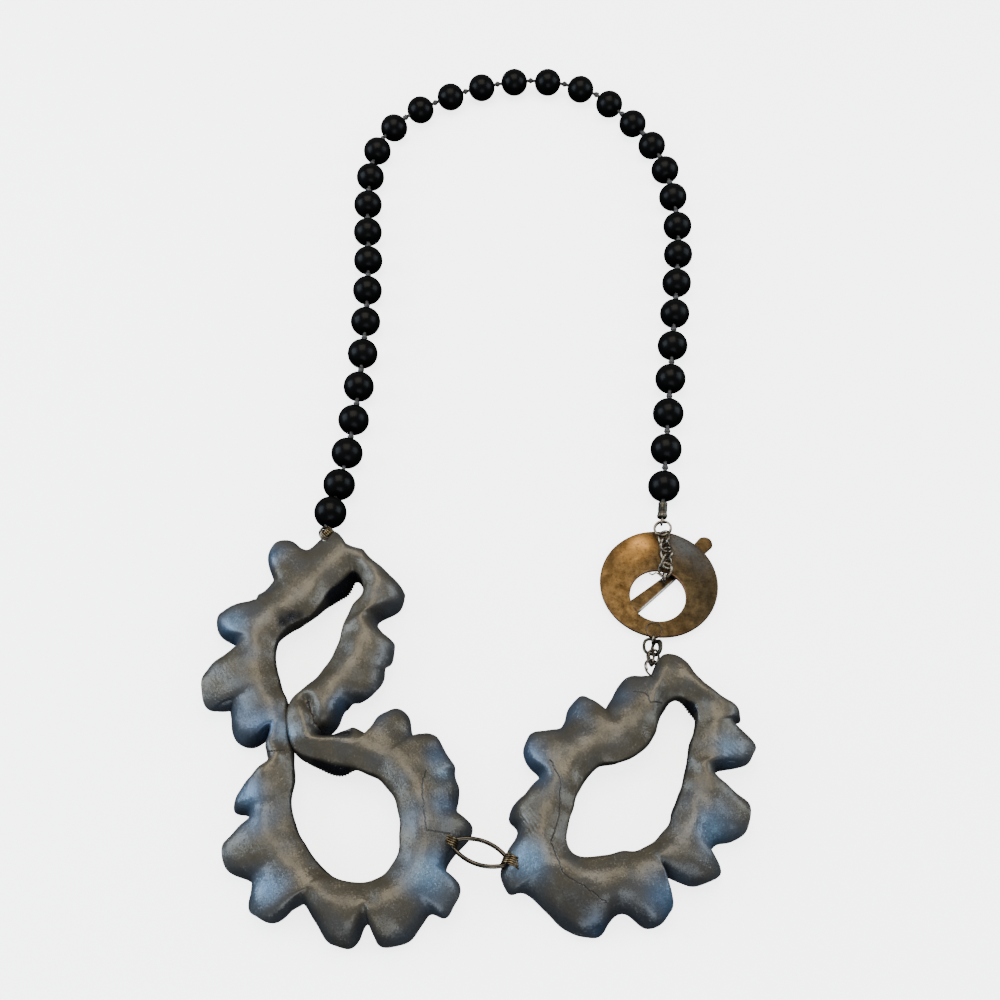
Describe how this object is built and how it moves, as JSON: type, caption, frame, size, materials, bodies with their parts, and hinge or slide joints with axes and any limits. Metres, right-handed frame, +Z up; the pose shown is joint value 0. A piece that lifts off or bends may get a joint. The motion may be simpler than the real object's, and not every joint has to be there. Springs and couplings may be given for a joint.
{
  "type": "necklace",
  "caption": "Statement necklace lying flat: a string of round black beads with a toggle clasp, and frilled, wavy ring pendants joined by wire links at the front.",
  "frame": {"origin": "under the middle of the necklace's outline, on the surface that it lies on", "axes": "+Z up from the surface, +Y from the frilled forms at the front to the back of the neck, +X to the wearer's left as the necklace lies in the picture, which is to the right in the picture"},
  "size_m": [0.1564, 0.3249, 0.0122],
  "materials": {
    "glaze": "dark grey moulded resin with blue, sparkling patches; glassy and black inside the eyes",
    "bead": "glossy black",
    "thread": "dark grey twisted cord, knotted between the beads",
    "bronze": "aged bronze with orange, brown and bluish patches",
    "gunmetal": "dark antiqued wire with worn bright edges",
    "silver": "bright silver wire",
    "antique_brass": "dark brown antiqued wire with bright edges"
  },
  "bodies": {
    "root": {"double_ruffle": "glaze", "single_ruffle": "glaze", "bead_thread": "thread", "cord_tip": "gunmetal", "clasp_ring": "gunmetal", "toggle_chain": "gunmetal", "toggle_bar": "bronze", "toggle_disc": "bronze", "disc_ring": "gunmetal", "disc_link": "gunmetal", "ruffle_ring": "gunmetal", "split_ring": "silver", "marquise_link": "gunmetal", "left_coil": "antique_brass", "right_coil": "antique_brass", "bead_01": "bead", "bead_02": "bead", "bead_03": "bead", "bead_04": "bead", "bead_05": "bead", "bead_06": "bead", "bead_07": "bead", "bead_08": "bead", "bead_09": "bead", "bead_10": "bead", "bead_11": "bead", "bead_12": "bead", "bead_13": "bead", "bead_14": "bead", "bead_15": "bead", "bead_16": "bead", "bead_17": "bead", "bead_18": "bead", "bead_19": "bead", "bead_20": "bead", "bead_21": "bead", "bead_22": "bead", "bead_23": "bead", "bead_24": "bead", "bead_25": "bead", "bead_26": "bead", "bead_27": "bead", "bead_28": "bead", "bead_29": "bead", "bead_30": "bead", "bead_31": "bead", "bead_32": "bead", "bead_33": "bead", "bead_34": "bead"}
  },
  "joints": []
}
